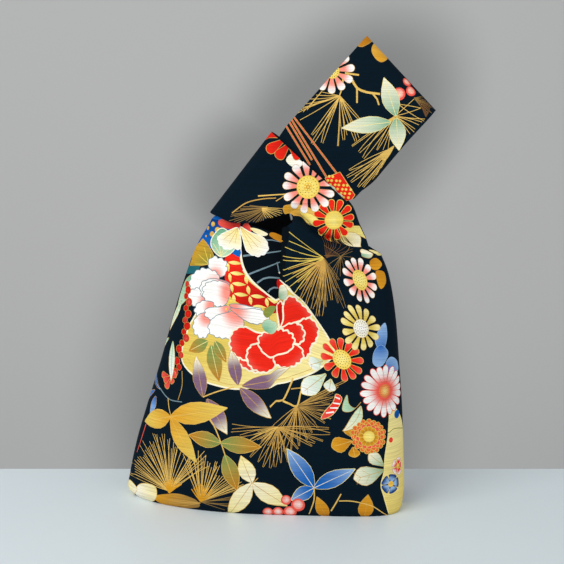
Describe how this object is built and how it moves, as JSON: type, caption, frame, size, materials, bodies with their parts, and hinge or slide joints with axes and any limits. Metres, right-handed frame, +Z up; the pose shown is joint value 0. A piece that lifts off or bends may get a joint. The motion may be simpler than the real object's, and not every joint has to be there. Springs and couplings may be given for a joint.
{
  "type": "knot bag",
  "caption": "Soft cloth pouch with a boxed base whose long loop handle is drawn through its short loop handle.",
  "frame": {"origin": "middle of the bag's bounding box, on the surface that it stands on", "axes": "+Z up, -Y the front with the pleat, +X towards the side that the long loop leans to"},
  "size_m": [0.2412, 0.095, 0.3643],
  "materials": {
    "printed_cloth": "dark blue-black kimono cloth with a many-coloured flower print outlined in gold",
    "lining_cloth": "plain charcoal cotton"
  },
  "bodies": {
    "root": {"front_panel": "printed_cloth", "back_panel": "printed_cloth", "front_lining": "lining_cloth", "back_lining": "lining_cloth"}
  },
  "joints": []
}
